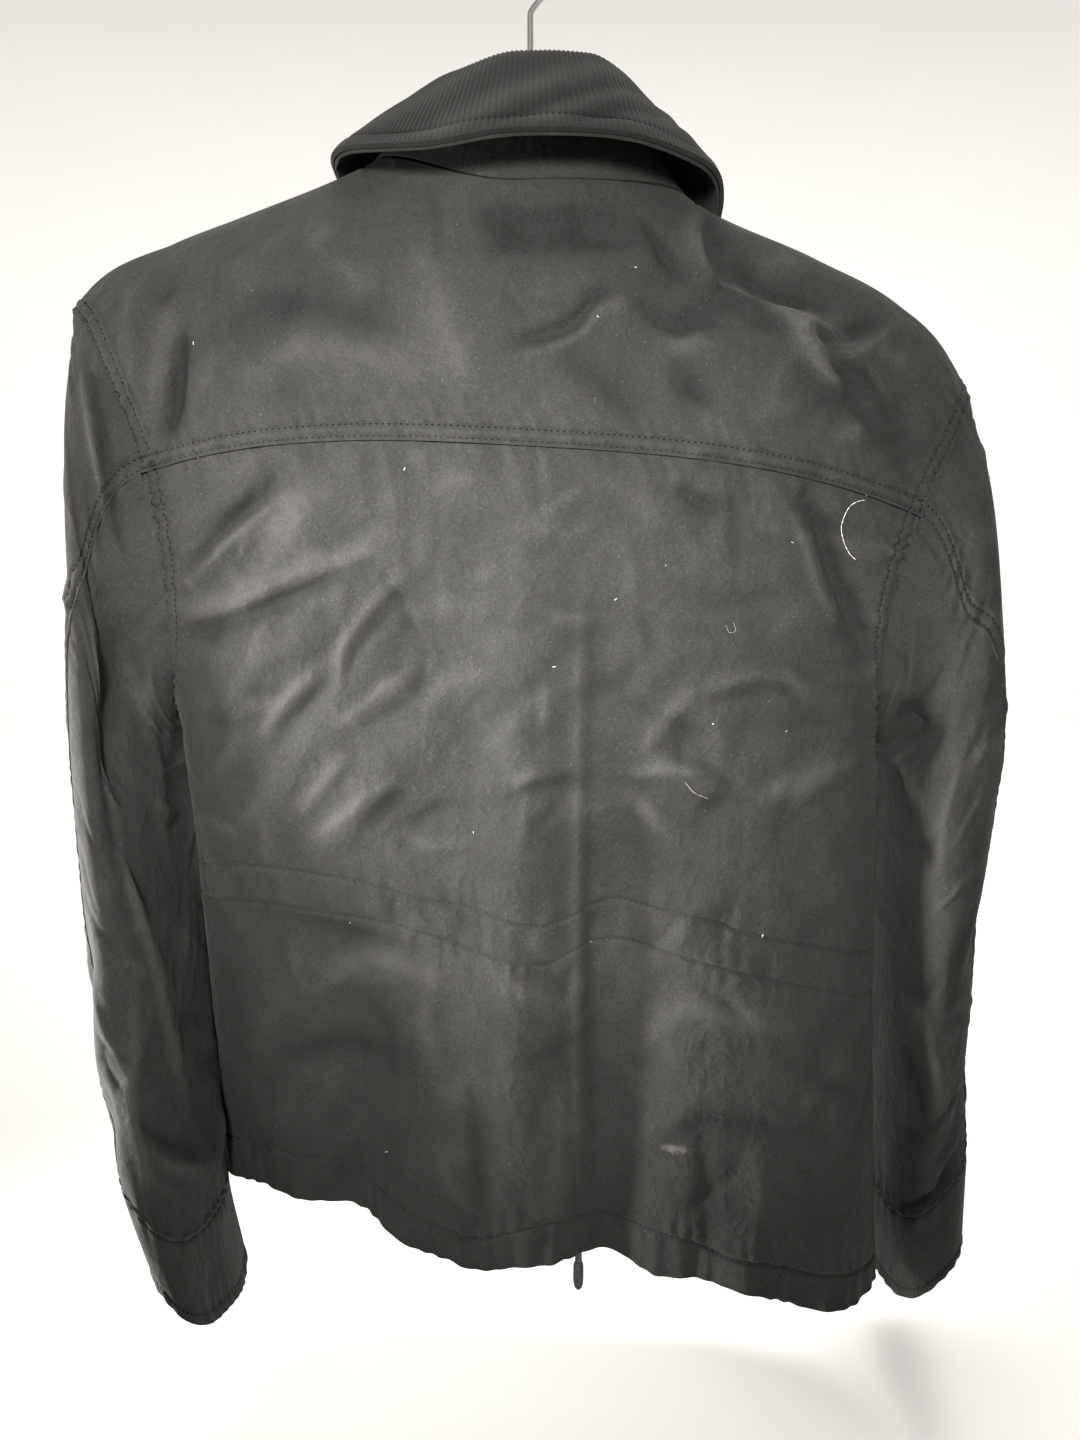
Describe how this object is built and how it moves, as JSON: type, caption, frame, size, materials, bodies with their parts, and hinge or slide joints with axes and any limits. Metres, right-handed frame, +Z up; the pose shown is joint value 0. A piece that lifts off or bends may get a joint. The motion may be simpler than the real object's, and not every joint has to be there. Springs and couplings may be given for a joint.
{
  "type": "jacket on a hanger",
  "caption": "Dark cotton canvas jacket with a fold-over rib-knit collar, back yoke and waist drawcord, hung on a plain hanger.",
  "frame": {"origin": "inside top of the hanger's hook, where a rail carries it", "axes": "+Z up, the pictured back faces -Y, the fronts face +Y, +X towards the right of the picture"},
  "size_m": [0.5151, 0.1987, 0.7851],
  "materials": {
    "canvas": "washed black cotton twill, matt with a faint sheen",
    "rib_knit": "fine one-by-one rib knit",
    "button": "dull black",
    "hanger_wood": "satin varnish",
    "steel": "bright wire",
    "cord": "braided cord"
  },
  "bodies": {
    "root": {"back_yoke": "canvas", "back_panel": "canvas", "front_left": "canvas", "front_right": "canvas", "front_fly": "canvas", "sleeve_left_upper": "canvas", "sleeve_left_under": "canvas", "sleeve_right_upper": "canvas", "sleeve_right_under": "canvas", "cuff_left": "canvas", "cuff_right": "canvas", "collar_under": "canvas", "collar_rib": "rib_knit", "button_1": "button", "button_2": "button", "button_3": "button", "button_4": "button", "button_5": "button", "button_6": "button", "button_7": "button", "hanger_bar": "hanger_wood", "hanger_hook": "steel", "cord_eyelet": "steel", "drawcord": "cord", "drawcord_tip": "cord"}
  },
  "joints": []
}
